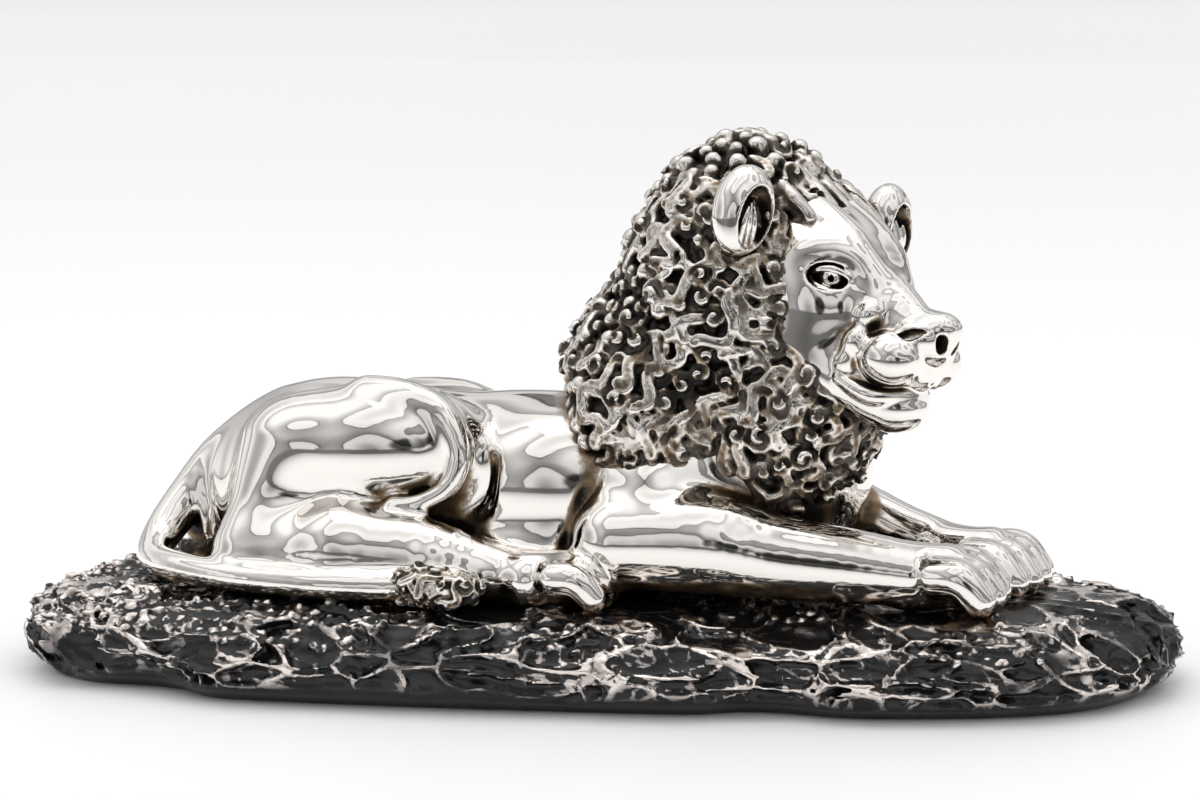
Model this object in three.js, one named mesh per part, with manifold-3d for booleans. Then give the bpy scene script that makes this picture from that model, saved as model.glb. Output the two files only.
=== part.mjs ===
// A polished lion lying on a slab of rough rock: two castings, the lion and the rock it is fixed to.
// Millimetres, +Z up, +X towards the lion's forepaws, +Y towards its left side, and the origin at the
// middle of the rock's flat underside.
//
// The lion is modelled as a carver would block it out: masses and limbs that flow into each other. Each
// is a signed distance, they are joined with a rounded fillet, and the skin is found on a grid.
import * as THREE from "three";
import { triTable } from "three/addons/objects/MarchingCubes.js";
import { mergeVertices } from "three/addons/utils/BufferGeometryUtils.js";
import Module from "manifold-3d";

const wasm = await Module();
wasm.setup();

// ---------------------------------------------------------------- driving dimensions
const UNDERSIDE = 2.5; // heights are laid out from a level this far below the slab
const GROUND = 26; // the rock under the lion
const SEAM = 0.35; // gap between the two castings
const ALONG = stations(-128, [-104, 4.4], [40, 6.4], [126, 4.1]); // the lion's grid, finest at its head
const ACROSS = stations(-62, [62, 4.75]);
const UP = stations(18, [42, 4], [72, 5.4], [152, 4.2]);

const LOCK = 2.6; // width of a lump in the mane, over pi
const HEAD_PLACE = [56, -6, 106.5]; // between the ears, at the height of the eyes
const HEAD_TURN = -33; // degrees, towards the lion's right
const HEAD_TILT = -8; // degrees, its right ear higher than its left

// The slab's widest line, round from its nose end: three worn lobes with a notch between each two.
const OUTLINE = [
  [153, 2],
  [148, -20],
  [134, -40],
  [110, -53],
  [76, -61],
  [52, -59],
  [36, -65],
  [0, -69],
  [-45, -72],
  [-86, -72],
  [-103, -63],
  [-123, -61],
  [-141, -50],
  [-149, -28],
  [-149, 2],
  [-143, 30],
  [-126, 49],
  [-88, 60],
  [-30, 61],
  [20, 57],
  [62, 62],
  [108, 54],
  [136, 36],
  [149, 18],
];
const SLAB_SIDE = [
  [UNDERSIDE, 9],
  [6, 3.5],
  [10, 0.5],
  [14, 0],
  [18.5, 2.5],
  [22, 7],
  [24.6, 12],
  [GROUND, 18],
]; // height, and how far in from the widest line

// ---------------------------------------------------------------- forms, as signed distances
const radians = THREE.MathUtils.degToRad;

// An egg: its centre, its three half-lengths and its turn in degrees about Z, Y and X.
function mass(centre, half, [yaw = 0, pitch = 0, roll = 0] = []) {
  const turn = new THREE.Matrix4().makeRotationFromEuler(
    new THREE.Euler(radians(roll), radians(pitch), radians(yaw), "ZYX"),
  );
  const e = turn.transpose().elements;
  return (x, y, z) => {
    const px = x - centre[0];
    const py = y - centre[1];
    const pz = z - centre[2];
    const a = (e[0] * px + e[4] * py + e[8] * pz) / half[0];
    const b = (e[1] * px + e[5] * py + e[9] * pz) / half[1];
    const c = (e[2] * px + e[6] * py + e[10] * pz) / half[2];
    const k0 = Math.hypot(a, b, c);
    const k1 = Math.hypot(a / half[0], b / half[1], c / half[2]);
    return k1 > 0 ? (k0 * (k0 - 1)) / k1 : -Math.min(...half);
  };
}

// A round limb between two joints [x, y, z, radius].
function bone(a, b) {
  const along = [b[0] - a[0], b[1] - a[1], b[2] - a[2]];
  const long2 = along[0] ** 2 + along[1] ** 2 + along[2] ** 2;
  return (x, y, z) => {
    const p = [x - a[0], y - a[1], z - a[2]];
    const dot = p[0] * along[0] + p[1] * along[1] + p[2] * along[2];
    const t = Math.min(1, Math.max(0, dot / long2));
    const off = [p[0] - t * along[0], p[1] - t * along[1], p[2] - t * along[2]];
    return Math.hypot(...off) - (a[3] + t * (b[3] - a[3]));
  };
}

const limb = (...joints) => joints.slice(1).map((joint, i) => bone(joints[i], joint));

// Adds forms to a field with a fillet of the given size, or cuts them away from it.
function body() {
  const steps = [];
  const made = (x, y, z) => {
    let d = 1e3;
    for (const { form, fillet, cut } of steps) {
      const f = cut ? -form(x, y, z) : form(x, y, z);
      const h = Math.max(fillet - Math.abs(d - f), 0) / fillet;
      const round = (h * h * fillet) / 4;
      d = cut ? Math.max(d, f) + round : Math.min(d, f) - round;
    }
    return d;
  };
  made.add = (fillet, ...forms) => {
    forms.flat().forEach((form) => steps.push({ form, fillet, cut: false }));
    return made;
  };
  made.cut = (fillet, ...forms) => {
    forms.flat().forEach((form) => steps.push({ form, fillet, cut: true }));
    return made;
  };
  return made;
}

// ---------------------------------------------------------------- the skin of a field
// Marching cubes over a box. Crossings are kept a little away from the corners, so no face is a sliver.
const CORNERS = [
  [0, 0, 0],
  [1, 0, 0],
  [1, 1, 0],
  [0, 1, 0],
  [0, 0, 1],
  [1, 0, 1],
  [1, 1, 1],
  [0, 1, 1],
];
const EDGES = [0, 1, 2, 3].flatMap((c) => [
  [c, (c + 1) % 4],
  [c + 4, ((c + 1) % 4) + 4],
  [c, c + 4],
]);
const EDGE_ORDER = [0, 3, 6, 9, 1, 4, 7, 10, 2, 5, 8, 11]; // the table's edge numbers in EDGES
const CLEAR = 0.1; // of an edge, kept free at its ends

// Stations from a start, in runs of roughly equal steps: each run is [its end, its step].
function stations(start, ...runs) {
  const marks = [start];
  for (const [end, step] of runs) {
    const from = marks[marks.length - 1];
    const count = Math.max(1, Math.round((end - from) / step));
    for (let i = 1; i <= count; i++) marks.push(from + ((end - from) * i) / count);
  }
  return marks;
}

function skin(field, ...marks) {
  const n = marks.map((m) => m.length);
  const at = ([i, j, k]) => (k * n[1] + j) * n[0] + i;
  const place = (g) => g.map((v, m) => marks[m][v]);
  const value = new Float64Array(n[0] * n[1] * n[2]);
  const eachCorner = (visit) => {
    for (let k = 0; k < n[2]; k++)
      for (let j = 0; j < n[1]; j++)
        for (let i = 0; i < n[0]; i++) visit([i, j, k]);
  };
  eachCorner((g) => {
    const onEdge = g.some((v, m) => v === 0 || v === n[m] - 1);
    value[at(g)] = onEdge ? 1 : field(...place(g));
  });

  const points = [];
  const numbers = new Map();
  const triangles = [];
  eachCorner((g) => {
    if (g.some((v, m) => v === n[m] - 1)) return;
    const corners = CORNERS.map((c) => c.map((v, m) => v + g[m]));
    const code = corners.reduce((sum, c, bit) => sum + (value[at(c)] < 0 ? 1 << bit : 0), 0);
    for (let row = code * 16; triTable[row] >= 0; row++) {
      const [p, q] = EDGES[EDGE_ORDER[triTable[row]]].map((c) => corners[c]);
      const key = Math.min(at(p), at(q)) * value.length + Math.max(at(p), at(q));
      if (!numbers.has(key)) {
        const t = THREE.MathUtils.clamp(value[at(p)] / (value[at(p)] - value[at(q)]), CLEAR, 1 - CLEAR);
        numbers.set(key, points.length / 3);
        const [from, to] = [place(p), place(q)];
        points.push(...from.map((v, m) => v + t * (to[m] - v)));
      }
      triangles.push(numbers.get(key));
    }
  });
  const geometry = new THREE.BufferGeometry();
  geometry.setAttribute("position", new THREE.Float32BufferAttribute(points, 3));
  return geometry.setIndex(triangles.reverse()); // so that the faces look outwards
}

// A closed geometry as a solid that can be joined and cut.
function solid(geometry) {
  const bare = geometry.clone();
  bare.deleteAttribute("normal");
  bare.deleteAttribute("uv");
  const merged = mergeVertices(bare, 1e-3);
  return new wasm.Manifold(
    new wasm.Mesh({
      numProp: 3,
      vertProperties: merged.attributes.position.array,
      triVerts: new Uint32Array(merged.index.array),
    }),
  );
}

function geometryOf(made) {
  const mesh = made.getMesh();
  const geometry = new THREE.BufferGeometry();
  geometry.setAttribute("position", new THREE.BufferAttribute(mesh.vertProperties, 3));
  geometry.setIndex(new THREE.BufferAttribute(mesh.triVerts, 1));
  geometry.computeVertexNormals();
  return geometry;
}

// ---------------------------------------------------------------- trunk and legs
function trunk() {
  const made = body().add(
    14,
    mass([-16, 0, 49], [62, 28, 25]), // barrel
    mass([-70, 0, 46], [37, 27, 30]), // rump
    mass([-99, -7, 42], [11, 9, 15]), // under the tail's root
    mass([36, 0, 58], [36, 30, 30]), // chest
  );
  for (const side of [-1, 1]) {
    const drop = side > 0 ? 6.5 : 0; // the left hip lies lower
    made.add(5, mass([-54, side * 21, 61.5 - drop], [29, 17, 17], [0, -4, 0])); // thigh
    made.add(6, limb([-77, side * 22, 60, 13], [-85, side * 31, 36, 8])); // hamstring
    made.add(
      4,
      limb(
        [-84, side * 34, 34, 8.5],
        [-56, side * 37, 36, 11],
        [-40, side * 37, 36, 10.5],
        [-20, side * 38, 32.6, 7.2],
        [-2, side * 40, 31, 6],
      ),
    ); // hock to hind paw
  }
  made.add(8, mass([19, -24, 55], [16, 13, 22]), mass([23, 24, 55], [16, 13, 22])); // shoulders
  made.add(
    5,
    limb(
      [12, -33, 41, 12],
      [34, -33, 41.6, 12.8],
      [50, -32, 38.6, 10.8],
      [70, -30, 36.4, 9.4],
      [88, -27, 34, 7.8],
    ),
  ); // right forearm
  made.add(5, limb([24, 30, 41, 12], [55, 22, 42, 10.5], [78, 13, 37, 8], [94, 6, 33.5, 7])); // left forearm
  return made;
}

// Four toes side by side, each a knuckle that drops to a rounded tip.
function paw([x, y, z], heading, size) {
  const made = body();
  const spread = 6.6 * size;
  const turn = radians(heading);
  const put = (forward, left, up, r) => [
    x + size * forward * Math.cos(turn) - left * Math.sin(turn),
    y + size * forward * Math.sin(turn) + left * Math.cos(turn),
    z + size * up,
    size * r,
  ];
  made.add(3, limb(put(-8, 0, 1, 8), put(2, 0, 2, 8)));
  for (let toe = -1.5; toe <= 1.5; toe++) {
    const reach = 14 - 1.6 * Math.abs(toe);
    const knuckle = put(reach - 5, toe * spread, 3, 4.8);
    made.add(2.5, limb(put(0, toe * spread * 0.8, 3, 5), knuckle, put(reach, toe * spread, -2, 4.2)));
  }
  return made;
}

const TAIL = [
  [-84, 0, 63, 9],
  [-100, -2, 55, 7.5],
  [-110, -7, 44, 6],
  [-115, -16, 35, 5],
  [-113, -27, 31, 4.3],
  [-101, -37, 30.3, 4],
  [-84, -44, 30, 3.8],
  [-62, -48, 29.8, 3.8],
  [-44, -48, 29.8, 4],
];

function tail() {
  return body()
    .add(3, limb(...TAIL))
    .add(3, mass([-33, -48, 30.4], [13, 5.4, 4.8]));
}

// ---------------------------------------------------------------- mane
// Its locks show here as lumps: the curls themselves are finer than these facets.
function mane() {
  const core = body().add(
    12,
    mass([39, 0, 113], [26, 32, 31.8], [HEAD_TURN, 0, 0]),
    mass([35, 0, 92], [33, 36, 34], [0, 20, 0]),
    mass([13, 0, 79], [23, 32, 20], [0, 30, 0]),
    mass([49, -2, 67], [25, 34, 27]),
    mass([16, -22, 70], [18, 15, 15]),
  );
  const lump = (x, y, z) => Math.sin(x / LOCK) * Math.sin(y / LOCK) * Math.sin(z / LOCK);
  return (x, y, z) => core(x, y, z) + 1 - 1.8 * lump(x + 0.5 * z, y + 0.4 * x, z - 0.4 * y);
}

// ---------------------------------------------------------------- head, in its own frame
// Origin between the ears at the height of the eyes, +X to the nose, +Y to the lion's left.
function head() {
  const made = body();
  made.add(6, mass([-2, 0, 1], [25, 21, 19])); // skull
  made.add(6, limb([14, 0, 2, 9], [28, 0, -6, 7], [36, 0, -10, 5.5], [44, 0, -11, 5])); // bridge of the nose
  made.add(6, mass([24, 0, -17], [13, 11.5, 11])); // muzzle
  for (const side of [-1, 1]) {
    made.add(6, mass([8, side * 13, -9], [14, 9, 13])); // cheek
    made.add(3, limb([8, side * 16, 6, 4], [18.5, side * 11, 5, 3.6], [24, side * 7, 0.5, 3])); // brow
    made.add(2.5, mass([33.5, side * 7.2, -19], [8.8, 7, 7])); // upper lip
    made.add(5, limb([4, side * 14, -20, 8], [26, side * 6, -29, 5.5])); // jaw
    made.add(2, mass([40, side * 4.6, -13.5], [5.5, 4, 4.2])); // wing of the nose
    made.cut(2, mass([21, side * 15, -1], [6, 5, 4])); // eye socket
    made.add(1, mass([17.5, side * 11.5, -0.5], [5, 4.6, 4])); // eye
  }
  made.add(3, mass([29.5, 0, -30.5], [9.5, 8.5, 5.5])); // chin
  made.add(2, mass([43, 0, -12], [5.8, 5.5, 5.4])); // nose pad
  for (const side of [-1, 1]) {
    made.add(3, mass([0, side * 28, 14], [6.5, 8, 11.5], [side * 25, 0, side * 8])); // ear
    made.cut(1.5, mass([6, side * 28.5, 12.5], [5.5, 5, 8], [side * 25, 0, side * 8]));
  }
  return made;
}

// ---------------------------------------------------------------- assembly
const headTurn = new THREE.Matrix4()
  .makeRotationFromEuler(new THREE.Euler(radians(HEAD_TILT), 0, radians(HEAD_TURN), "ZYX"))
  .setPosition(...HEAD_PLACE);

function lion() {
  const headIn = headTurn.clone().invert();
  const inHead = (form) => (x, y, z) => {
    const p = new THREE.Vector3(x, y, z).applyMatrix4(headIn);
    return form(p.x, p.y, p.z);
  };
  const whole = body()
    .add(4, trunk())
    .add(2, tail())
    .add(2, mane())
    .add(1.5, inHead(head()))
    .add(2, paw([92, -25, 32], -4, 1), paw([100, 2, 32], -14, 1))
    .add(2, paw([-2, -41, 31], 4, 0.86), paw([-2, 41, 31], -4, 0.86));
  return skin(whole, ALONG, ACROSS, UP);
}

// ---------------------------------------------------------------- rock
// Rings round the outline, one above the other, closed by a fan below and another on top.
function rock() {
  const line = new THREE.CatmullRomCurve3(
    OUTLINE.map(([x, y]) => new THREE.Vector3(x, y, 0)),
    true,
    "catmullrom",
    0.5,
  );
  const around = 64;
  const points = [[0, 0, UNDERSIDE]];
  SLAB_SIDE.forEach(([height, inset], row) => {
    for (let i = 0; i < around; i++) {
      const p = line.getPointAt(i / around);
      const t = line.getTangentAt(i / around);
      const level = height > UNDERSIDE && height < GROUND ? 1 : 0;
      const crumple = level * (1.3 * Math.sin(i * 2.5 + row * 2.3) + 0.8 * Math.sin(i * 4.1 - row * 4.1));
      const push = inset + (crumple + 1.3) / 2;
      const wave = level * 0.9 * Math.sin(i * 2.3 + row * 1.7);
      points.push([p.x + t.y * push, p.y - t.x * push, height + wave]);
    }
  });
  points.push([0, 0, GROUND]);
  const ring = (row, i) => 1 + row * around + (i % around);
  const faces = [];
  for (let i = 0; i < around; i++) {
    faces.push(0, ring(0, i), ring(0, i + 1));
    for (let row = 0; row + 1 < SLAB_SIDE.length; row++) {
      faces.push(ring(row, i), ring(row + 1, i), ring(row, i + 1));
      faces.push(ring(row + 1, i), ring(row + 1, i + 1), ring(row, i + 1));
    }
    faces.push(ring(SLAB_SIDE.length - 1, i), points.length - 1, ring(SLAB_SIDE.length - 1, i + 1));
  }
  const geometry = new THREE.BufferGeometry();
  geometry.setAttribute("position", new THREE.Float32BufferAttribute(points.flat(), 3));
  return geometry.setIndex(faces);
}

const object = new THREE.Group();
const silver = new THREE.MeshStandardMaterial({ color: 0xdcd8d2, roughness: 0.12, metalness: 1 });
const black = new THREE.MeshStandardMaterial({ color: 0x242424, roughness: 0.35, metalness: 0.8 });

const base = solid(rock()).translate(0, 0, -UNDERSIDE);
const standing = solid(lion()).translate(0, 0, -UNDERSIDE);
const lionMesh = new THREE.Mesh(geometryOf(standing.subtract(base.translate(0, 0, SEAM))), silver);
lionMesh.name = "lion";
const baseMesh = new THREE.Mesh(geometryOf(base), black);
baseMesh.name = "rock_base";
object.add(lionMesh, baseMesh);

export default object;
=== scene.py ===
"""A polished silver lion lying on a slab of blackened rock, in a white studio.

Lengths in the layout are millimetres, from a level 2.5 below the rock's underside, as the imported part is
laid out: +X towards the forepaws, +Y towards the lion's left side. Meshes are in metres.
"""

import copy
import math

import bmesh
import bpy
import numpy as np
import openvdb as vdb
from mathutils import Matrix, Vector


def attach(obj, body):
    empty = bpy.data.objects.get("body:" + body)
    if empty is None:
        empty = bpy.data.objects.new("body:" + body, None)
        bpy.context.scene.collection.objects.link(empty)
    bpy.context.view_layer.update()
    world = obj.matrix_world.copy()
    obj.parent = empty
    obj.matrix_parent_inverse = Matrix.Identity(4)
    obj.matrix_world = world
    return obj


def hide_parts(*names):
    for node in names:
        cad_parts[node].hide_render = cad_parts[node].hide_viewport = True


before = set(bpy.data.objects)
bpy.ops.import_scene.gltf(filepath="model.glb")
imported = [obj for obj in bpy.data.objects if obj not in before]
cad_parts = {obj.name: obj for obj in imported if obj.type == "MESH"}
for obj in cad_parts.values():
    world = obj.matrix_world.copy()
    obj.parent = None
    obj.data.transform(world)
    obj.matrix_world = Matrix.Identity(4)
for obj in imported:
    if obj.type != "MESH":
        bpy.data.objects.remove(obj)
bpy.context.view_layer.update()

MM = 0.001
UNDERSIDE = 2.5  # the rock's underside, in the layout
GROUND = 26.0  # its flat top
FAR = 30.0  # the distance that stands for anywhere far off
BAND = 2.5  # how far from a form its distances are worked out
TABLE_EDGE = -0.5  # metres, in front of the rock


# ------------------------------------------------------------------ clay: forms and how they are joined
class Form:
    """A closed form: its signed distance, and the box it fills."""

    def __init__(self, distance, low, high):
        self.distance = distance
        self.low = np.array(low, float)
        self.high = np.array(high, float)


def mass(centre, half, turn=(0, 0, 0), place=None):
    """An egg with three half-lengths, turned in degrees about Z, Y and X."""
    yaw, pitch, roll = (math.radians(a) for a in turn)
    rotation = Matrix.Rotation(yaw, 3, "Z") @ Matrix.Rotation(pitch, 3, "Y")
    rotation = rotation @ Matrix.Rotation(roll, 3, "X")
    middle = Vector(centre)
    if place is not None:
        rotation = place.to_3x3() @ rotation
        middle = place @ middle
    r = np.array(rotation)
    h = np.array(half, float)
    c = np.array(middle)
    reach = np.sqrt(((r * h) ** 2).sum(1))

    def distance(x, y, z):
        px, py, pz = x - c[0], y - c[1], z - c[2]
        a = (r[0, 0] * px + r[1, 0] * py + r[2, 0] * pz) / h[0]
        b = (r[0, 1] * px + r[1, 1] * py + r[2, 1] * pz) / h[1]
        e = (r[0, 2] * px + r[1, 2] * py + r[2, 2] * pz) / h[2]
        near = np.sqrt(a * a + b * b + e * e) + 1e-9
        slope = np.sqrt((a / h[0]) ** 2 + (b / h[1]) ** 2 + (e / h[2]) ** 2) + 1e-9
        return near * (near - 1) / slope

    return Form(distance, c - reach, c + reach)


def bone(start, end, place=None):
    """A round tapered limb between two joints (x, y, z, radius)."""
    a, b = Vector(start[:3]), Vector(end[:3])
    if place is not None:
        a, b = place @ a, place @ b
    a, b = np.array(a), np.array(b)
    along = b - a
    length2 = max(along @ along, 1e-9)
    thick, grow = start[3], end[3] - start[3]

    def distance(x, y, z):
        px, py, pz = x - a[0], y - a[1], z - a[2]
        t = np.clip((px * along[0] + py * along[1] + pz * along[2]) / length2, 0, 1)
        away = (px - t * along[0]) ** 2 + (py - t * along[1]) ** 2 + (pz - t * along[2]) ** 2
        return np.sqrt(away) - thick - t * grow

    wide = max(start[3], end[3])
    return Form(distance, np.minimum(a, b) - wide, np.maximum(a, b) + wide)


def string(*joints, place=None):
    """Bones end to end, as one form."""
    bones = [bone(a, b, place) for a, b in zip(joints, joints[1:])]

    def distance(x, y, z):
        near = bones[0].distance(x, y, z)
        for one in bones[1:]:
            near = np.minimum(near, one.distance(x, y, z))
        return near

    return Form(distance, np.min([one.low for one in bones], 0), np.max([one.high for one in bones], 0))


def limb(*joints, place=None):
    """A string that bends smoothly through its joints."""
    if len(joints) < 3:
        return string(*joints, place=place)
    p = np.array([joints[0], *joints, joints[-1]], float)
    smooth = []
    for k in range(len(joints) - 1):
        a, b, c, d = p[k : k + 4]
        for t in np.linspace(0, 1, 5, endpoint=False):
            swing = (c - a) * t + (2 * a - 5 * b + 4 * c - d) * t * t + (3 * b - a - 3 * c + d) * t**3
            smooth.append(0.5 * (2 * b + swing))
    return string(*smooth, joints[-1], place=place)


def blend(a, b, fillet):
    """The lower of two distances, with a rounded fillet where they meet."""
    h = np.maximum(fillet - np.abs(a - b), 0) / fillet
    return np.minimum(a, b) - h * h * fillet / 4


class Clay:
    """Signed distances on a grid, built up form by form."""

    def __init__(self, low, high, cell, band=BAND):
        self.low = np.array(low, float)
        self.cell = cell
        self.band = band  # how far from a form its distances are kept
        self.size = np.ceil((np.array(high, float) - self.low) / cell).astype(int) + 1
        self.depth = np.full(self.size, FAR, np.float32)

    def window(self, low, high):
        first = np.clip(np.floor((low - self.low) / self.cell).astype(int), 0, self.size)
        last = np.clip(np.ceil((high - self.low) / self.cell).astype(int) + 1, 0, self.size)
        x, y, z = (self.ruler(m)[first[m] : last[m]].astype(np.float32) for m in range(3))
        here = tuple(slice(a, b) for a, b in zip(first, last))
        return here, x[:, None, None], y[None, :, None], z[None, None, :]

    def work(self, fillet, form, sign):
        reach = fillet + self.band
        here, x, y, z = self.window(form.low - reach, form.high + reach)
        if min(s.stop - s.start for s in here) > 0:
            self.depth[here] = sign * blend(sign * self.depth[here], form.distance(x, y, z), fillet)

    def add(self, fillet, *forms):
        for form in forms:
            self.work(fillet, form, 1)

    def cut(self, fillet, *forms):
        for form in forms:
            self.work(fillet, form, -1)

    def ruler(self, m):
        """Where the grid's layers lie along one axis."""
        return self.low[m] + self.cell * np.arange(self.size[m])

    def level(self, z):
        """Cuts everything flat below a height."""
        self.depth = np.maximum(self.depth, (z - self.ruler(2))[None, None, :]).astype(np.float32)

    def half(self, side):
        """A copy of one side of the middle plane: the right for 1, the left for -1."""
        part = copy.copy(self)
        part.depth = np.maximum(self.depth, side * self.ruler(1)[None, :, None]).astype(np.float32)
        return part

    def at(self, points):
        """The distance at scattered points, between the grid's own."""
        g = (points - self.low) / self.cell
        g = np.clip(g, 0, np.array(self.size) - 1.001)
        i = g.astype(int)
        f = (g - i).astype(np.float32)
        total = 0
        for corner in range(8):
            o = np.array([corner & 1, corner >> 1 & 1, corner >> 2 & 1])
            share = np.prod(np.where(o, f, 1 - f), axis=1)
            total = total + share * self.depth[tuple((i + o).T)]
        return total

    def skin(self):
        """The surface as points in layout millimetres and faces of four."""
        grid = vdb.FloatGrid(FAR)
        held = self.depth.copy()
        for m in range(3):
            edge = [slice(None)] * 3
            for side in (0, -1):
                edge[m] = side
                held[tuple(edge)] = FAR
        grid.copyFromArray(held)
        points, quads = grid.convertToQuads(0.0)
        return points * self.cell + self.low, quads


def hollows(points, normals, clays, steps):
    """How shut in each point is: 0 in the open, towards 1 in a deep hollow."""
    shut = np.zeros(len(points))
    for step in steps:
        ahead = points + normals * step
        free = np.min([clay.at(ahead) for clay in clays], axis=0)
        shut += np.clip((step - free) / step, 0, 1)
    return shut / len(steps)


def stain(points, spots):
    """Where patina is left thick: 1 at the middle of a spot (centre, half-lengths), 0 at its edge."""
    left = np.zeros(len(points))
    for centre, half in spots:
        out = (points - np.array(centre)) / np.array(half)
        left = np.maximum(left, 1 - np.sqrt((out**2).sum(1)))
    return np.minimum(1.6 * left, 1)


STAINS = (
    ((-99, -14, 38), (13, 13, 17)),  # between tail and hamstring
    ((-70, -42, 34), (20, 6, 4)),  # where the tail passes the hock
    ((-100, -5, 36), (17, 13, 14)),  # under the tail's root
    ((-100, -8, 38), (12, 10, 11)),
    ((-30, -30, 46), (9, 9, 12)),  # between haunch and belly
    ((-8, -30, 36), (20, 9, 6)),  # under the belly
    ((3, -33, 50), (6, 9, 20)),  # behind the shoulder
    ((45, -42, 31), (45, 9, 6)),  # under the forearm
    ((45, -20, 46), (50, 9, 12)),  # between forearm and chest
    ((70, -14, 30), (40, 12, 12)),  # between the forearms
)


def build(name, points, quads, marks, flat=None):
    """A piece from a skin, its marks kept as attributes; flat cut faces are merged into one."""
    mesh = bpy.data.meshes.new(name)
    mesh.vertices.add(len(points))
    lowered = points - np.array([0, 0, UNDERSIDE])
    mesh.vertices.foreach_set("co", (lowered * MM).astype(np.float32).ravel())
    mesh.loops.add(len(quads) * 4)
    mesh.loops.foreach_set("vertex_index", quads.astype(np.int32).ravel())
    mesh.polygons.add(len(quads))
    mesh.polygons.foreach_set("loop_start", np.arange(0, len(quads) * 4, 4, dtype=np.int32))
    mesh.update(calc_edges=True)
    mesh.validate()
    for key, values in marks.items():
        mesh.attributes.new(key, "FLOAT", "POINT").data.foreach_set("value", values.astype(np.float32))
    if flat is not None:
        bm = bmesh.new()
        bm.from_mesh(mesh)
        level = (flat - UNDERSIDE) * MM
        down = [f for f in bm.faces if f.normal.z < -0.9999]
        cut = [f for f in down if abs(f.calc_center_median().z - level) < 0.02 * MM]
        bmesh.ops.dissolve_faces(bm, faces=cut, use_verts=False)
        bm.to_mesh(mesh)
        bm.free()
    piece = bpy.data.objects.new(name, mesh)
    bpy.context.scene.collection.objects.link(piece)
    mesh.polygons.foreach_set("use_smooth", np.ones(len(mesh.polygons), bool))
    return piece


def relax(points, quads, rounds, strength=0.5):
    """Evens a skin: each point moves to the middle of its neighbours, then back out, so nothing shrinks."""
    pairs = np.concatenate([quads[:, [0, 1]], quads[:, [1, 2]], quads[:, [2, 3]], quads[:, [3, 0]]])
    count = np.bincount(pairs.ravel(), minlength=len(points))
    for step in range(rounds * 2):
        pull = strength if step % 2 == 0 else -strength * 1.03
        total = np.stack(
            [
                np.bincount(pairs[:, 0], points[pairs[:, 1], m], len(points))
                + np.bincount(pairs[:, 1], points[pairs[:, 0], m], len(points))
                for m in range(3)
            ],
            axis=1,
        )
        points = points + pull * (total / np.maximum(count, 1)[:, None] - points)
    return points


def normals_of(points, quads):
    """Unit normals at the points."""
    a, b, c, d = (points[quads[:, k]] for k in range(4))
    face = np.cross(c - a, d - b)
    total = np.stack(
        [sum(np.bincount(quads[:, k], face[:, m], len(points)) for k in range(4)) for m in range(3)],
        axis=1,
    )
    return total / np.maximum(np.linalg.norm(total, axis=1), 1e-12)[:, None]


# ------------------------------------------------------------------ fine grain for rough surfaces
LATTICE = 32


def grain(points, size, seed):
    """Smooth random hills from -1 to 1, about `size` mm apart, at (n, 3) points."""
    dice = np.random.default_rng(seed).random((LATTICE, LATTICE, LATTICE), dtype=np.float32) * 2 - 1
    g = points / size
    i = np.floor(g).astype(int)
    f = (g - i).astype(np.float32)
    f = f * f * f * (f * (f * 6 - 15) + 10)
    total = 0
    for corner in range(8):
        o = np.array([corner & 1, corner >> 1 & 1, corner >> 2 & 1])
        share = np.prod(np.where(o, f, 1 - f), axis=1)
        j = (i + o) % LATTICE
        total = total + share * dice[j[:, 0], j[:, 1], j[:, 2]]
    return total


def swirl(points, size, amount, seed):
    """Points pushed about by a slow random drift, so that what is laid on them wanders."""
    drift = np.stack([grain(points, size, seed + m) for m in range(3)], axis=1)
    return points + amount * drift


# ------------------------------------------------------------------ the lion's forms
HEAD_TURN = Matrix.Rotation(math.radians(-33), 4, "Z") @ Matrix.Rotation(math.radians(-8), 4, "X")
HEAD = Matrix.Translation((56, -6, 106.5)) @ HEAD_TURN

TAIL = (
    (-84, 0, 63, 9),
    (-100, -2, 55, 7.5),
    (-110, -7, 44, 6),
    (-115, -16, 35, 5),
    (-113, -27, 31, 4.3),
    (-101, -37, 30.3, 4),
    (-84, -44, 30, 3.8),
    (-62, -48, 29.8, 3.8),
    (-44, -48, 29.8, 4),
)

TUFT = (-33, -48, 30.4)


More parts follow.
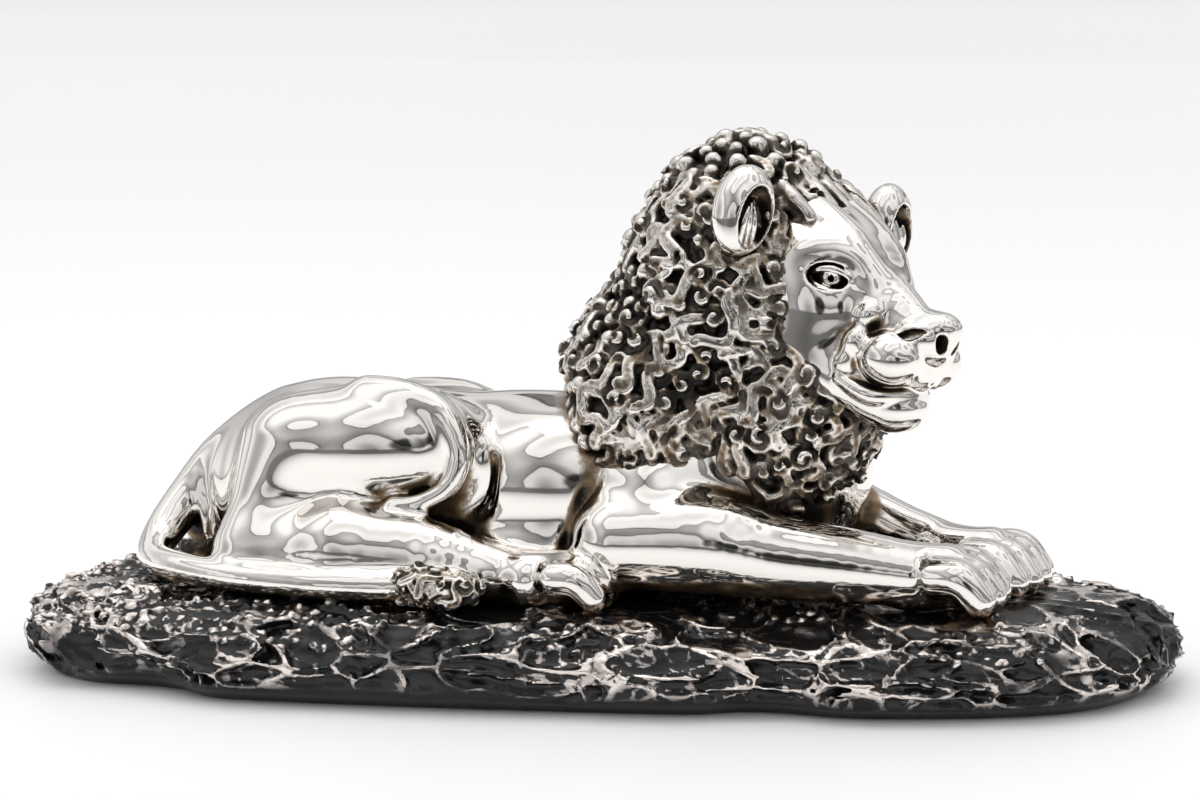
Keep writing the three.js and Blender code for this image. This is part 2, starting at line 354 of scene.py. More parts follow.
def model_trunk(clay):
    clay.add(
        14,
        mass((-16, 0, 49), (62, 28, 25)),  # barrel
        mass((-70, 0, 46), (37, 27, 30)),  # rump
        mass((36, 0, 58), (36, 30, 30)),  # chest
        mass((-7, -20, 53), (16, 11, 15)),  # flanks
        mass((-7, 20, 53), (16, 11, 15)),
    )
    for side in (-1, 1):
        drop = 6.5 if side > 0 else 0  # the left hip lies lower
        clay.add(4, mass((-54, side * 21, 61.5 - drop), (29, 17, 17), (0, -4, 0)))  # thigh
        clay.add(9, limb((-77, side * 22, 60, 13), (-85, side * 31, 36, 8)))  # hamstring
        clay.add(9, limb((-84, side * 34, 34, 8.5), (-60, side * 36, 37, 11)))  # hock
        clay.add(
            4,
            limb(
                (-60, side * 36, 37, 11),
                (-40, side * 37, 36, 10.5),
                (-20, side * 38, 32.6, 7.2),
                (-2, side * 40, 31, 6),
            ),
        )  # hind foot
        clay.add(
            4,
            limb(
                (-56, side * 23, 75.5 - drop, 4),
                (-44, side * 27, 75.5 - drop, 3.6),
                (-35, side * 30, 72 - drop, 3.2),
                (-30.5, side * 32, 65.5 - drop / 2, 3),
                (-29.5, side * 33.5, 59 - drop / 3, 2.8),
                (-32.5, side * 34.5, 53, 2.6),
                (-39, side * 35.5, 49.5, 2.2),
                (-46, side * 36, 49, 1.4),
            ),
        )  # the haunch's rolled front rim, hooked back at its foot
        clay.cut(
            2,
            limb(
                (-28, side * 28, 74 - drop, 0.8),
                (-24.5, side * 29, 66 - drop / 2, 2),
                (-23.5, side * 29.5, 57, 3),
                (-26, side * 30, 49.5, 4.2),
                (-31, side * 31, 46, 4.2),
                (-38, side * 33, 44.5, 2.2),
            ),
        )  # hollow between haunch and belly
        clay.cut(3, mass((-38, side * 38.6, 65.5), (2.4, 1.8, 2)))  # dimple at the knee
        clay.add(5, mass((-6, side * 24, 38), (23, 10, 8)))  # the belly's low edge
    clay.add(6, mass((20, -25, 51), (15, 13, 15)), mass((24, 25, 51), (15, 13, 15)))  # shoulders
    clay.cut(
        1.5,
        limb(
            (8, -33, 66, 1),
            (6, -33, 59, 1.8),
            (3.5, -33, 51.5, 2.4),
            (1, -33, 44, 2.8),
            (-1, -34, 37.5, 2.8),
        ),
    )  # fold behind the shoulder
    clay.add(
        3,
        mass((-99, -1, 42), (11, 9, 15)),
        mass((-97, 3, 34), (17, 11, 13)),
        mass((-106, 6, 33), (13, 9, 12)),
    )  # behind the tail's root
    for strand in range(7):
        x = -106 + 2.6 * strand
        clay.add(
            0.8,
            limb(
                (x, -9, 52 - abs(strand - 3), 1.5),
                (x + 1.5, -12, 42, 1.5),
                (x + 2.5, -13, 32, 0.9),
            ),
        )  # hair under the tail
    clay.add(
        4,
        limb(
            (12, -33, 41, 12),
            (34, -33, 41.6, 12.8),
            (50, -32, 38.6, 10.8),
            (70, -30, 36.4, 9.4),
            (88, -27, 34, 7.8),
        ),
    )  # right forearm
    clay.cut(3, mass((45, -45, 48), (2.4, 2.2, 1.8)))  # dimple above the wrist
    clay.add(
        4,
        limb(
            (24, 30, 41, 12),
            (55, 22, 42, 10.5),
            (78, 13, 37, 8),
            (94, 6, 33.5, 7),
        ),
    )  # left forearm


def model_paw(clay, where, heading, size, parted=1.2):
    """Four toes side by side, each a knuckle that drops to a rounded tip."""
    turn = math.radians(heading)

    def put(forward, left, up, r):
        return (
            where[0] + size * forward * math.cos(turn) - left * math.sin(turn),
            where[1] + size * forward * math.sin(turn) + left * math.cos(turn),
            where[2] + size * up,
            size * r,
        )

    clay.add(3, bone(put(-8, 0, 1, 8), put(2, 0, 2, 8)))
    for toe in (-1.5, -0.5, 0.5, 1.5):
        reach = 14 - 1.6 * abs(toe)
        left = toe * 6.6 * size
        clay.add(
            parted,
            limb(
                put(0, left * 0.8, 3, 5),
                put(reach - 5, left, 3, 4.8),
                put(reach, left, -2, 4.2),
            ),
        )


def model_tail(clay):
    clay.add(3, limb(*TAIL))
    clay.add(3, mass(TUFT, (12, 4.6, 4)))


def model_mane(clay, slim):
    """The mane's mass under its curls, thinner by `slim` all round."""
    clay.add(
        12,
        mass((39, 0, 112), (26 - slim, 32 - slim, 31 - slim), (-33, 0, 0)),
        mass((35, 0, 92), (33 - slim, 36 - slim, 34 - slim), (0, 20, 0)),
        mass((13, 0, 79), (23 - slim, 32 - slim, 20 - slim), (0, 30, 0)),
        mass((49, -2, 67), (25 - slim, 34 - slim, 27 - slim)),
        mass((16, -22, 70), (18 - slim, 15 - slim, 15 - slim)),
        mass((8, 0, -28), (17 - slim, 19 - slim, 14 - slim), place=HEAD),
    )


def model_head(clay):
    """The head, in its own frame: origin between the ears at the height of the eyes, +X to the nose."""

    def egg(centre, half, turn=(0, 0, 0)):
        return mass(centre, half, turn, HEAD)

    def line(*joints):
        return limb(*joints, place=HEAD)

    clay.add(6, egg((-2, 0, 1), (25, 21, 19)))  # skull
    clay.add(
        6,
        line(
            (14, 0, 2, 9),
            (28, 0, -6, 7),
            (36, 0, -10, 5.5),
            (44, 0, -11, 5),
        ),
    )  # bridge of the nose
    clay.add(6, egg((22.5, 0, -17), (13, 10.5, 10.5)))  # muzzle
    for side in (-1, 1):
        clay.add(7, egg((6.5, side * 11.5, -9), (14, 9, 13)))  # cheek
        clay.add(8, line((4, side * 12, -20, 8), (26, side * 6, -28, 5.5)))  # jaw
        clay.add(
            4,
            line(
                (5, side * 7, 17, 3.2),
                (17, side * 6.5, 9.5, 3.4),
                (24.5, side * 3.5, 0.5, 2.4),
            ),
        )  # forehead
        clay.add(5, egg((22.5, side * 5.5, -6), (6.5, 4.5, 6)))  # beside the nose
        clay.add(1.2, egg((35, side * 7.6, -18.6), (8.5, 7, 6.9)))  # upper lip
        clay.add(1.5, egg((40, side * 4.6, -13), (5.5, 4, 4.2)))  # wing of the nose
    clay.add(3, egg((31, 0, -30.5), (9.4, 8.4, 6.6)))  # chin
    clay.add(2, egg((38.5, 0, -20.5), (4.8, 6, 5.6)))  # middle of the upper lip
    clay.add(1.5, egg((41.8, 0, -13.2), (5.6, 6.9, 6.4)))  # nose pad
    clay.add(1.5, egg((44.5, 0, -9.8), (4.2, 4.6, 3)))
    for side in (-1, 1):
        clay.add(
            3.5,
            line(
                (6.5, side * 15.5, -1, 2),
                (9, side * 14.6, 5, 3),
                (14.3, side * 11.8, 6.8, 3.2),
                (20.2, side * 8, 5.2, 3),
                (25, side * 5.4, 0.5, 2),
            ),
        )  # brow
        clay.cut(0.8, egg((16.9, side * 13.4, -0.2), (5.6, 5, 3.5)))  # eye socket
        clay.add(0.3, egg((16.6, side * 11.4, -0.5), (3.3, 3.1, 2.9)))  # eyeball
        clay.add(
            0.4,
            line(
                (11.8, side * 14.6, -0.4, 0.7),
                (15.2, side * 14.8, 1.5, 0.9),
                (18.8, side * 13.2, 1.9, 0.9),
                (21.8, side * 10.4, 0.2, 0.8),
                (23, side * 9, -2, 0.6),
            ),
        )  # upper lid
        clay.add(
            0.4,
            line(
                (11.8, side * 14.6, -0.4, 0.7),
                (15, side * 15, -2.4, 0.9),
                (18.8, side * 13.4, -3.6, 0.9),
                (21.8, side * 10.4, -3.4, 0.8),
                (23, side * 9, -2, 0.6),
            ),
        )  # lower lid
        clay.cut(0.2, line((16.4, side * 11.5, -0.5, 0.75), (20, side * 15, -0.5, 0.85)))  # pupil
        flare = (side * 12, 0, side * -20)
        clay.cut(0.5, egg((46.3, side * 2.7, -13.8), (4, 1.5, 2.5), flare))  # nostril
        clay.cut(
            0.7,
            line(
                (44, side * 6.2, -11.2, 0.4),
                (41, side * 7.4, -12.4, 1.5),
                (37, side * 8.8, -13.8, 0.8),
            ),
        )  # slit behind it
        clay.cut(
            2,
            line(
                (3, side * 17, -13, 1.6),
                (9, side * 17, -22, 2.8),
                (17, side * 13, -30.5, 2.2),
            ),
        )  # under the cheek
        clay.cut(
            0.6,
            line(
                (43, 0, -24.4, 0.4),
                (39, side * 5, -25.4, 0.5),
                (33, side * 10.5, -26, 0.7),
                (25, side * 14, -22, 0.9),
            ),
        )  # mouth
        clay.add(
            0.8,
            line(
                (23.5, side * 12.5, -24.6, 1.6),
                (31, side * 9.6, -28, 2.2),
                (36.5, side * 4, -27.4, 2.3),
                (37.4, 0, -27.2, 2.3),
            ),
        )  # lower lip
        for x, y, z, r in (
            (28, 9.2, -8.8, 2.6),
            (26.4, 11.2, -15.4, 3),
            (24.4, 11.8, -20.6, 2.2),
        ):
            clay.add(2, egg((x, side * y, z), (r, r, r * 1.3), (0, 25, 0)))  # folds behind the lip
        clay.add(2.5, egg((0, side * 28, 14), (6.8, 8, 11.8), (side * 25, 0, side * 8)))  # ear
        clay.cut(0.8, egg((5.6, side * 28.5, 12.4), (6.8, 4.8, 8.2), (side * 25, 0, side * 8)))
        for lock in range(3):
            y = side * (26 + 1.9 * lock)
            down = line((1.5, y, 5, 1), (3.2, y + side, 11, 1), (1.5 + lock, y, 17 - lock, 0.6))
            clay.add(0.6, down)  # the hair in it
    clay.cut(0.5, line((46, 0, -18.4, 0.6), (42.5, 0, -24, 0.6)))  # parting of the lip


# ------------------------------------------------------------------ the rock's forms
OUTLINE = (
    (153, 2),
    (148, -20),
    (134, -40),
    (110, -53),
    (76, -61),
    (52, -59),
    (36, -65),
    (0, -69),
    (-45, -72),
    (-86, -72),
    (-103, -63),
    (-123, -61),
    (-141, -50),
    (-149, -28),
    (-149, 2),
    (-143, 30),
    (-126, 49),
    (-88, 60),
    (-30, 61),
    (20, 57),
    (62, 62),
    (108, 54),
    (136, 36),
    (149, 18),
)
SLAB_SIDE = ((2.5, 9), (6, 3.5), (10, 0.5), (14, 0), (18.5, 2.5), (22, 7), (24.6, 12), (26, 18))


def round_line(corners, steps):
    """A closed smooth line through the corners."""
    p = np.array(corners, float)
    before, after, beyond = np.roll(p, 1, 0), np.roll(p, -1, 0), np.roll(p, -2, 0)
    line = []
    for t in np.linspace(0, 1, steps, endpoint=False):
        line.append(
            0.5
            * (
                2 * p
                + (after - before) * t
                + (2 * before - 5 * p + 4 * after - beyond) * t * t
                + (3 * p - before - 3 * after + beyond) * t**3
            )
        )
    return np.stack(line, 1).reshape(-1, 2)


def inside_line(x, y, line):
    """Signed distance in plan to a closed line, negative inside."""
    px, py = x[:, None].ravel(), y.ravel()
    best = np.full((len(px), len(py)), 1e9)
    inside = np.zeros((len(px), len(py)), bool)
    for a, b in zip(line, np.roll(line, -1, 0)):
        e = b - a
        wx, wy = px[:, None] - a[0], py[None, :] - a[1]
        t = np.clip((wx * e[0] + wy * e[1]) / (e @ e), 0, 1)
        best = np.minimum(best, (wx - t * e[0]) ** 2 + (wy - t * e[1]) ** 2)
        if a[1] != b[1]:
            span = (py < a[1]) != (py < b[1])
            cross = a[0] + (py - a[1]) / (b[1] - a[1]) * e[0]
            inside ^= span[None, :] & (px[:, None] < cross[None, :])
    return np.where(inside, -1, 1) * np.sqrt(best)


def cells(points, size, seed):
    """How far points are from the borders of crumpled cells about `size` mm across: 0 on a border."""
    dice = np.random.default_rng(seed).random((LATTICE, LATTICE, LATTICE, 3), dtype=np.float32)
    g = (points / size).astype(np.float32)
    i = np.floor(g).astype(int)
    first = np.full(len(g), 9, np.float32)
    second = first.copy()
    for step in range(27):
        j = i + np.array([step % 3 - 1, step // 3 % 3 - 1, step // 9 - 1])
        k = j % LATTICE
        off = g - j - dice[k[:, 0], k[:, 1], k[:, 2]]
        away = np.sqrt((off * off).sum(1))
        second = np.minimum(second, np.maximum(first, away))
        first = np.minimum(first, away)
    return (second - first) * size / 2


def folds(points):
    """Distances to the rock's large and small crests."""
    slant = 0.6 * np.minimum(points[:, 0] + 100, 0)
    drawn = points * np.array([0.62, 0.9, 1.5]) + np.stack([slant * 0, slant * 0, slant], 1)
    flatter = points * np.array([0.8, 1, 1.3])
    return cells(swirl(drawn, 12, 9, 3), 13, 11), cells(swirl(flatter, 6, 5, 17), 6.6, 23)


def calm_of(points):
    """1 where the rock is crumpled, 0 on the smooth foot of its sides."""
    edge = 6 + 3 * grain(points, 26, 41)
    return np.clip((points[:, 2] - edge) / 3, 0, 1)


def model_rock(clay):
    """The slab, crumpled in folds with sharp crests and dished hollows between them."""
    x, y, z = (clay.ruler(m) for m in range(3))
    plan = inside_line(x, y, round_line(OUTLINE, 6))
    inset = np.interp(z, [s[0] for s in SLAB_SIDE], [s[1] for s in SLAB_SIDE])
    lean = np.gradient(inset, z)
    steep = np.sqrt(1 + np.minimum(lean, 2.5) ** 2)
    side = (plan[:, :, None] + inset[None, None, :]) / steep[None, None, :]
    top = (z - GROUND)[None, None, :] + 0 * side
    under = (UNDERSIDE - z)[None, None, :] + 0 * side
    slab = -blend(-side, -top, 5.0)
    near = (slab > -5.5) & (slab < 2.5) & (under < 1)
    i = np.argwhere(near)
    p = clay.low + clay.cell * i
    large, small = folds(p)
    dish = np.clip(large / 2.6, 0, 1)
    chip = np.clip(small / 1.3, 0, 1)
    uneven = 1.2 * grain(p, 21, 31) + 0.9 * grain(p, 8, 37)
    sink = 3.4 * (1 - (1 - dish) ** 2) + 0.8 * chip + uneven + 0.25
    rough = calm_of(p)
    inner = np.clip((-plan[i[:, 0], i[:, 1]] - 16) / 14, 0, 1)  # where the lion lies, flatter
    sink = sink * rough * (1 - 0.7 * inner) + 0.8 * (1 - rough)
    slab[near] += sink
    clay.depth = np.maximum(slab, under).astype(np.float32)


def model_beads(clay, rng):
    """Little bead-like buds on the slab's shoulders, in loose rows."""
    points, quads = clay.skin()
    normals = normals_of(points, quads)
    rows = (points[:, 1] + 0.22 * points[:, 0] + 3 * grain(points, 30, 61)) / 4.4
    where = (normals[:, 2] > 0.4) & (points[:, 2] > 17) & (rows - np.floor(rows) < 0.4)
    plenty = grain(points, 26, 53) > -0.06
    points, normals = points[where & plenty], normals[where & plenty]
    for i in scatter(points, 2.7, rng)[:1500]:
        size = rng.uniform(0.75, 1.25)
        lie = rng.normal(35, 14)
        bud = (1.75 * size, 0.95 * size, 1.1 * size)
        clay.add(0.5, mass(points[i] + normals[i] * 0.35 * size, bud, (lie, -12, 0)))


# ------------------------------------------------------------------ the mane's curls
def scatter(points, apart, rng):
    """A thinned choice of points, none nearer than `apart` to another."""
    taken = {}
    chosen = []
    for i in rng.permutation(len(points)):
        p = points[i]
        c = tuple(np.floor(p / apart).astype(int))
        crowded = any(
            np.sum((points[j] - p) ** 2) < apart * apart
            for dx in (-1, 0, 1)
            for dy in (-1, 0, 1)
            for dz in (-1, 0, 1)
            for j in taken.get((c[0] + dx, c[1] + dy, c[2] + dz), ())
        )
        if not crowded:
            taken.setdefault(c, []).append(i)
            chosen.append(i)
    return np.array(chosen)


def curl(root, normal, size, rng, knobs):
    """The joints of one lock: a round knob, a snail curl, or a short wriggling one."""
    flow = np.array([-0.5, 0, -1.0])
    down = flow - normal * (flow @ normal)
    down = down / max(np.linalg.norm(down), 1e-6)
    across = np.cross(normal, down)
    hand = rng.choice([-1, 1])
    start = rng.uniform(0, 2 * math.pi)
    thick = size * rng.uniform(0.27, 0.33)
    joints = []
    kind = rng.random()
    if kind < knobs:
        tail = root + size * 0.3 * (math.cos(start) * across + math.sin(start) * down)
        ball = size * rng.uniform(0.35, 0.46)
        joints = [(*tail, ball * 0.6), (*(root + normal * size * rng.uniform(0.04, 0.2)), ball)]
    elif kind < knobs + (1 - knobs) * 0.45:
        turns = rng.uniform(0.8, 1.2)
        for t in np.linspace(0, 1, 8):
            a = start + hand * turns * 2 * math.pi * t
            r = size * (0.5 - 0.36 * t)
            rise = size * (0.02 + 0.34 * t * t)
            place = root + r * (math.cos(a) * across + math.sin(a) * down) + normal * rise
            joints.append((*place, thick * (1 - 0.1 * t)))
        joints[-1] = (*joints[-1][:3], thick * 1.3)
    else:
        long = size * rng.uniform(1.1, 2.0)
        turn = rng.normal(0, 0.6)
        ahead = math.cos(turn) * down + math.sin(turn) * across
        beside = np.cross(normal, ahead)
        for t in np.linspace(0, 1, 9):
            sway = hand * size * 0.36 * math.sin(start + 5.6 * t)
            rise = size * (0.02 + 0.2 * math.sin(math.pi * t) + 0.12 * t)
            place = root + ahead * long * (t - 0.45) + beside * sway + normal * rise
            joints.append((*place, thick * (0.85 + 0.25 * t)))
    return joints


def model_lumps(clay):
    """Round lumps all over the mane, parted by narrow creases."""
    near = np.abs(clay.depth) < 2.6
    p = clay.low + clay.cell * np.argwhere(near)
    away = np.clip(cells(swirl(p, 9, 3, 71), 4.6, 73) / 1.5, 0, 1)
    clay.depth[near] -= 1.3 * (1 - (1 - away) ** 2)


def model_locks(clay, points, normals, knobs, size, rng):
    """Locks rooted all over some points, the long ones grooved along their middle."""
    for i in scatter(points, size * 0.7, rng):
        lock = curl(points[i], normals[i], size * rng.uniform(0.82, 1.2), rng, knobs[i])
        clay.add(0.3, string(*lock))
        if len(lock) > 2:
            groove = [(*(np.array(p[:3]) + 1.1 * normals[i] * p[3]), 0.42 * p[3]) for p in lock]
            clay.cut(0.25, string(*groove))


def model_tuft(clay, rng):
    """The tail's tuft, carved all over in little locks."""
    clay.add(1, mass(TUFT, (13, 5.2, 4.6)))
    points, quads = clay.skin()
    normals = normals_of(points, quads)
    model_locks(clay, points - 0.8 * normals, normals, np.zeros(len(points)), 3.4, rng)
    clay.level(GROUND - 1)


def model_curls(clay, core, head, trunk, size, rng):
    """Curls all over the mane's mass: knobs on its crown and back, locks on its sides."""
    points, quads = core.skin()
    normals = normals_of(points, quads)
    bare = (head.at(points) > -0.8) & (trunk.at(points) > -0.4) & (points[:, 2] > GROUND + 1)
    points, normals = points[bare], normals[bare]
    knobs = np.clip(1.4 * np.maximum(normals[:, 2], -normals[:, 0]) - 0.35, 0.01, 0.95)
    model_locks(clay, points, normals, knobs, size, rng)
    for lock in range(-3, 4):
        y = lock * 4.7 + rng.uniform(-0.6, 0.6)
        x = -2.5 + rng.uniform(-1.5, 1.5)
        drop = 0.014 * y * y
        clay.add(
            0.4,
            limb(
                (x - 6, y - 1, 23.5 - drop, 2.4),
                (x, y + 1, 24 - drop, 2.5),
                (x + 5, y - 0.8, 22 - drop, 2.1),
                (x + 9, y + 0.5, 19 - drop, 1.6),
                (x + 10, y + 1.5, 17 - drop, 1.9),
                place=HEAD,
            ),
        )  # locks over the forehead


# ------------------------------------------------------------------ pieces
fine = 1.0
rng = np.random.default_rng(7)

core = Clay((-22, -50, 20), (92, 50, 152), 1.2)
model_mane(core, 3)

body = Clay((-128, -62, 23), (126, 62, 92), 0.9 * fine)
model_trunk(body)
model_paw(body, (92, -25, 32), -4, 1)
model_paw(body, (100, 2, 32), -14, 1)
model_paw(body, (-2, -41, 31), 4, 0.86, 2.6)
model_paw(body, (-2, 41, 31), -4, 0.86, 2.6)
model_tail(body)
body.level(GROUND - 1)

head = Clay((24, -56, 58), (112, 44, 140), 0.46 * fine)
model_head(head)

whole = Clay((-136, -70, 14), (136, 70, 156), 2.2, band=14)
model_trunk(whole)
model_tail(whole)
model_mane(whole, 1.0)
model_head(whole)
whole.depth = np.minimum(whole.depth, (whole.ruler(2) - GROUND)[None, None, :]).astype(np.float32)

mane = Clay((-22, -52, 20), (92, 52, 152), 0.7 * fine, band=3)
model_mane(mane, 4.4)
model_lumps(mane)
mane.band = 1.2
model_curls(mane, core, head, body, 5.8, rng)

tuft = Clay((-50, -58, 23), (-15, -38, 40), 0.42 * fine)
model_tuft(tuft, rng)

rock = Clay((-158, -80, -2), (160, 70, 34), 0.98 * fine)
model_rock(rock)
plain_rock = rock.depth.copy()
model_beads(rock, rng)


def finish_skin(clay, rounds, near_steps):
    """A skin for the smooth parts, its hollows measured near by and against the whole lion."""
    points, quads = clay.skin()
    points = relax(points, quads, rounds)
    normals = normals_of(points, quads)
    wide = hollows(points, normals, [whole], (4, 8, 13))
    near = hollows(points, normals, [clay], near_steps)
    return points, quads, {"hollow": 0.6 * wide + 0.4 * near + 0.26 * stain(points, STAINS)}


body_piece = build("lion_body", *finish_skin(body, 3, (1.5, 3)), flat=GROUND - 1)
head_piece = build("lion_head", *finish_skin(head, 3, (0.8, 1.6, 3)))

points, quads = tuft.skin()
points = relax(points, quads, 1)
shut = hollows(points, normals_of(points, quads), [tuft], (0.6, 1.2, 2))
tuft_piece = build("tail_tuft", points, quads, {"hollow": np.clip(shut + 0.05, 0, 1)}, flat=GROUND - 1)

mane_pieces = []
for name, side in (("right", 1), ("left", -1)):
    points, quads = mane.half(side).skin()
    points = relax(points, quads, 1)
    normals = normals_of(points, quads)
    deep = np.clip(1 - core.at(points) / 1.8, 0, 1)
    shut = hollows(points, normals, [mane], (0.8, 1.6, 2.6))
    wide = hollows(points, normals, [whole], (5, 9, 13))
    hollow = np.clip(0.45 * deep + 0.85 * shut + 0.3 * wide, 0, 1)
    mane_pieces.append(build("lion_mane_" + name, points, quads, {"hollow": hollow}))

points, quads = rock.skin()
points = relax(points, quads, 2)
points[:, 2] = np.maximum(points[:, 2], UNDERSIDE)
large, small = folds(points)
rock.depth = plain_rock
rock_marks = {
    "large": large,
    "small": small,
    "rough": calm_of(points),
    "bud": np.clip(rock.at(points), 0, 2),
}
rock_piece = build("rock_slab", points, quads, rock_marks, flat=UNDERSIDE)

for piece, node, slot in (
    (body_piece, "lion", "silver"),
    (head_piece, "lion", "silver"),
    (tuft_piece, "lion", "silver"),
    (mane_pieces[0], "lion", "silver"),
    (mane_pieces[1], "lion", "silver"),
    (rock_piece, "rock_base", "blackened_rock"),
):
    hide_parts(node)
    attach(piece, "root")
    print(piece.name, sum(len(f.vertices) - 2 for f in piece.data.polygons), "triangles")


# ------------------------------------------------------------------ finishes
class Wire:
    """A shader socket that can be reckoned with."""

    def __init__(self, finish, socket):
        self.finish = finish
        self.socket = socket

    def reckon(self, operation, a, b=0.5):
        return self.finish.node("ShaderNodeMath", {"operation": operation}, {0: a, 1: b})

    def __add__(self, other):
        return self.reckon("ADD", self, other)

    __radd__ = __add__

    def __sub__(self, other):
        return self.reckon("SUBTRACT", self, other)

    def __rsub__(self, other):
        return self.reckon("SUBTRACT", other, self)

    def __mul__(self, other):
        return self.reckon("MULTIPLY", self, other)

    __rmul__ = __mul__

    def __pow__(self, other):
        return self.reckon("POWER", self, other)

    def clear(self, low, high):
        """0 below low, 1 above high, and a smooth step between."""
        return self.finish.node(
            "ShaderNodeMapRange",
            {"interpolation_type": "SMOOTHSTEP"},
            {"Value": self, "From Min": low, "From Max": high},
        )


class Finish:
    """The nodes of a material, or of the room around it."""

    def __init__(self, owner, place="Object"):
        owner.use_nodes = True
        self.owner = owner
        self.tree = owner.node_tree
        self.tree.nodes.clear()
        self.place = self.node("ShaderNodeTexCoord", out=place)

    def node(self, kind, settings=None, sockets=None, out=0):
        made = self.tree.nodes.new(kind)
        for key, value in (settings or {}).items():
            setattr(made, key, value)
        for key, value in (sockets or {}).items():
            if isinstance(value, Wire):
                self.tree.links.new(value.socket, made.inputs[key])
            else:
                made.inputs[key].default_value = value
        return Wire(self, made.outputs[out])

    def higher(self, a, b, hold=False):
        return self.node("ShaderNodeMath", {"operation": "MAXIMUM", "use_clamp": hold}, {0: a, 1: b})

    def parts(self):
        """The place's X, Y and Z."""
        apart = self.node("ShaderNodeSeparateXYZ", None, {0: self.place}).socket.node
        return (Wire(self, out) for out in apart.outputs)

    def mark(self, name):
        return self.node("ShaderNodeAttribute", {"attribute_name": name}, out="Fac")

    def noise(self, scale, detail=3, rough=0.5):
        return self.node(
            "ShaderNodeTexNoise",
            {"noise_dimensions": "3D"},
            {"Vector": self.place, "Scale": scale, "Detail": detail, "Roughness": rough},
        )

    def mix(self, share, a, b):
        return self.node("ShaderNodeMix", {"data_type": "RGBA"}, {0: share, 6: a, 7: b}, out=2)

    def grit(self, strength, height, texture):
        settings = {"Strength": strength, "Distance": height, "Height": texture}
        return self.node("ShaderNodeBump", None, settings)

    def end(self, kind, shader):
        self.tree.links.new(shader.socket, self.tree.nodes.new(kind).inputs["Surface"])
        return self.owner

    def surface(self, **sockets):
        names = {key.replace("_", " "): value for key, value in sockets.items()}
        return self.end("ShaderNodeOutputMaterial", self.node("ShaderNodeBsdfPrincipled", None, names))


def silver(name, brown_at, black_at, tarnish=0.0):
    """Polished silver, with brown-black patina left wherever a cloth can't reach."""
    f = Finish(bpy.data.materials.new(name))
    hollow = f.mark("hollow")
    cloud = f.noise(260, 4, 0.6)
    blot = f.noise(900, 3, 0.55)
    reach = hollow + (cloud - 0.5) * 0.2 + (blot - 0.5) * 0.14
    brown = reach.clear(*brown_at)
    black = reach.clear(*black_at)
    veil = 1 - f.noise(140, 2, 0.5).clear(0.35, 0.7) * tarnish
    tone = f.mix(brown, (0.93, 0.895, 0.855, 1), (0.28, 0.2, 0.125, 1))
    tone = f.mix(black, tone, (0.014, 0.012, 0.01, 1))
    tone = f.mix(veil, (0.3, 0.26, 0.22, 1), tone)
    rub = f.noise(3200, 2, 0.5)
    shine = f.noise(45, 3, 0.5)
    rough = 0.04 + shine * 0.05 + brown * 0.16 + black * 0.12 + rub * brown * 0.15
    wave = f.grit(0.04, 1 * MM, f.noise(34, 1, 0.4))
    return f.surface(Base_Color=tone, Metallic=1.0 - black * 0.35, Roughness=rough, Normal=wave)


def blackened_rock(name):
    """Blackened casting with its crests rubbed back to bright metal; the tops of its beads are bright
    partly from rubbing, partly as a painted highlight.
    """
    f = Finish(bpy.data.materials.new(name))
    rough_part = f.mark("rough")
    wear = f.noise(38, 3, 0.6)
    drift = f.noise(600, 2, 0.5)
    ragged = (drift - 0.5) * 0.5
    near_large = 1 - (f.mark("large") + ragged) * (4.4 - wear * 5)
    near_small = 1 - (f.mark("small") + ragged) * 2.2
    on_large = near_large.clear(0.2, 0.6) * wear.clear(0.36, 0.52)
    on_small = near_small.clear(0.3, 0.7) * (wear + near_large.clear(-2, 1) * 0.1).clear(0.5, 0.62) * 0.7
    # bead tops: partly rubbed bright metal, partly a painted highlight standing in for the glints the
    # glossy beads catch
    bud_wear_and_highlight = f.mark("bud").clear(0.85, 1.3) * f.noise(420, 1, 0.5).clear(0.4, 0.6)
    bright = f.higher(f.higher(on_large, on_small, hold=True) * rough_part, bud_wear_and_highlight, hold=True)
    cloud = f.noise(90, 4, 0.6)
    dark = f.mix(cloud, (0.012, 0.012, 0.0125, 1), (0.065, 0.065, 0.067, 1))
    tone = f.mix(bright, dark, (0.88, 0.80, 0.75, 1))
    rough = 0.24 + (cloud - 0.5) * 0.14 - bright * 0.08
    pits = f.grit(0.3, 0.3 * MM, f.noise(1100, 3, 0.6))
    return f.surface(Base_Color=tone, Metallic=0.85 + bright * 0.15, Roughness=rough, Normal=pits)


body_piece.data.materials.append(silver("silver_body", (0.46, 0.66), (0.66, 0.9)))
head_piece.data.materials.append(silver("silver_head", (0.36, 0.52), (0.48, 0.68)))
mane_silver = silver("silver_mane", (0.12, 0.36), (0.28, 0.46), 0.4)
for piece in (*mane_pieces, tuft_piece):
    piece.data.materials.append(mane_silver)
rock_piece.data.materials.append(blackened_rock("blackened_rock"))


# ------------------------------------------------------------------ the studio
def table():
    """A pale table top, with painted shade greying it towards its front edge."""
    half = 6
    bm = bmesh.new()
    bmesh.ops.create_grid(bm, x_segments=1, y_segments=1, size=half)
    bmesh.ops.translate(bm, vec=(0, half + TABLE_EDGE, 0), verts=bm.verts)
    mesh = bpy.data.meshes.new("table")
    bm.to_mesh(mesh)
    bm.free()
    top = bpy.data.objects.new("table", mesh)
    bpy.context.scene.collection.objects.link(top)
    f = Finish(bpy.data.materials.new("table"))
    _, y, _ = f.parts()
    # painted shade: the table turns grey towards its front edge, where the silver reflects it
    tone = f.mix(y.clear(TABLE_EDGE, -0.12), (0.4, 0.4, 0.4, 1), (0.97, 0.97, 0.97, 1))
    mesh.materials.append(f.surface(Base_Color=tone, Roughness=0.5))


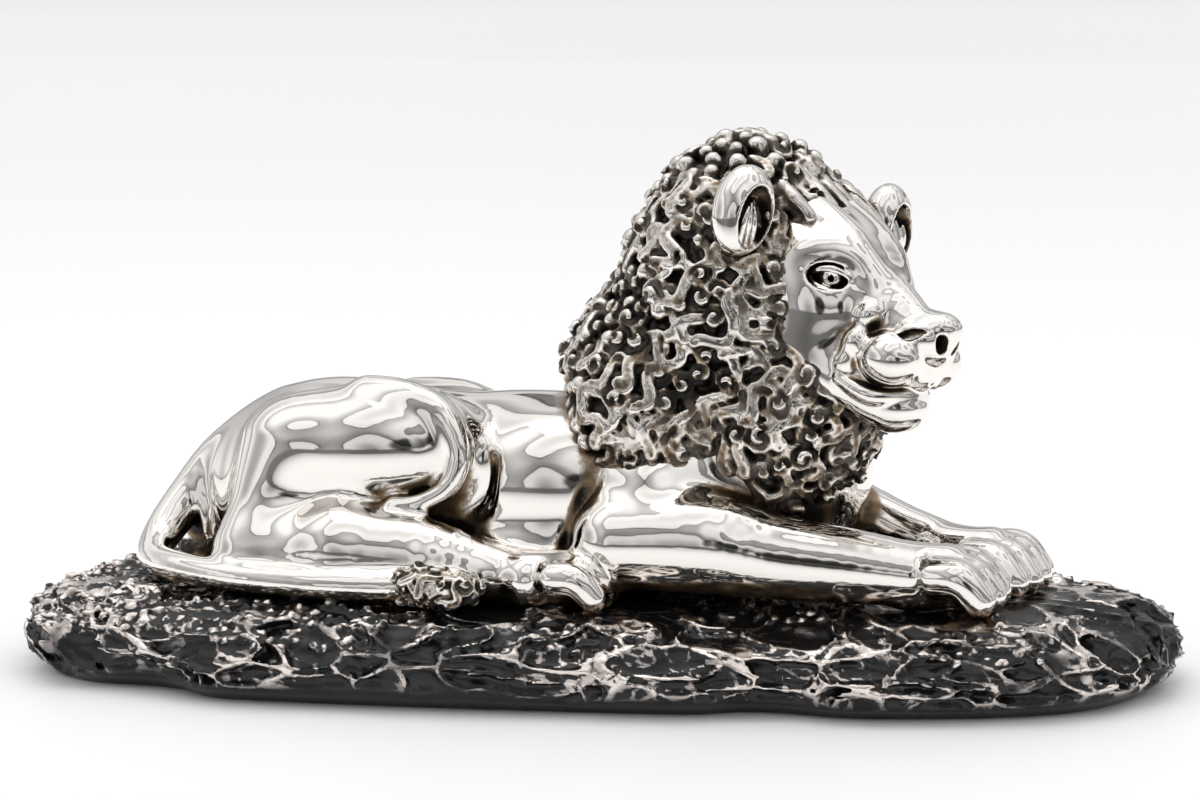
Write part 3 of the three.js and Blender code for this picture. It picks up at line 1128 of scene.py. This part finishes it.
def room():
    """A white room hung with large sheets, each paler towards its lower edge, with thin dark gaps."""
    world = bpy.data.worlds.new("studio")
    bpy.context.scene.world = world
    f = Finish(world, "Generated")
    x, y, z = f.parts()
    drift = f.noise(1.35, 0)
    left = (x * -1).clear(0.25, 0.85)
    over = z.clear(0.35, 0.95)
    level = drift * 4 + z * 0.7
    sheet = f.node("ShaderNodeMath", {"operation": "FRACT"}, {0: level}).clear(0, 0.75)
    glow = 0.2 + sheet * 0.5 + over * 0.4 + left * 0.22
    across = f.node("ShaderNodeMath", {"operation": "WRAP"}, {0: level, 1: 0.5, 2: -0.5})
    gap = 1 - f.node("ShaderNodeMath", {"operation": "ABSOLUTE"}, {0: across}).clear(0.006, 0.03)
    glow = glow * (1 - gap * 0.85)
    beyond = 1 - z.clear(-0.015, 0.03)  # the dark of the room in front of the table
    glow = glow * (1 - beyond) + beyond * (0.05 + drift * 0.25)
    front = x * 0.206 + y * -0.969 + z * 0.139
    glow = glow * (1 - front.clear(0.975, 0.992) * 0.9)
    seen = f.node("ShaderNodeLightPath", out="Is Camera Ray")
    matt = f.node("ShaderNodeLightPath", out="Is Diffuse Ray")
    plain = f.higher(seen, matt)  # what is seen past the lion, and what lights matt things, is plain white
    glow = glow * (1 - plain) + plain * 1.1
    shade = f.node("ShaderNodeBackground", None, {"Color": (1, 1, 1, 1), "Strength": glow})
    f.end("ShaderNodeOutputWorld", shade)


def top_light():
    """One wide soft light, above and behind."""
    place = Vector((-0.1, 0.25, 1.4))
    light = bpy.data.lights.new("top light", "AREA")
    light.size = 1.0
    light.energy = 2.5
    lamp = bpy.data.objects.new("top light", light)
    lamp.location = place
    lamp.rotation_euler = (Vector((0, 0, 0.05)) - place).to_track_quat("-Z", "Y").to_euler()
    bpy.context.scene.collection.objects.link(lamp)


def camera():
    """From a little to the lion's right of square on, and a little above."""
    turn, lift, away = math.radians(12), math.radians(8), 870 * MM
    aim = Vector((0, 0, 72 - UNDERSIDE)) * MM
    back = Vector((math.sin(turn) * math.cos(lift), -math.cos(turn) * math.cos(lift), math.sin(lift)))
    lens = bpy.data.cameras.new("camera")
    lens.sensor_width = 36
    lens.lens = 100.23
    eye = bpy.data.objects.new("camera", lens)
    eye.location = aim + back * away
    eye.rotation_euler = (-back).to_track_quat("-Z", "Y").to_euler()
    bpy.context.scene.collection.objects.link(eye)
    bpy.context.scene.camera = eye


table()
room()
top_light()
camera()
bpy.context.scene.view_settings.view_transform = "Standard"
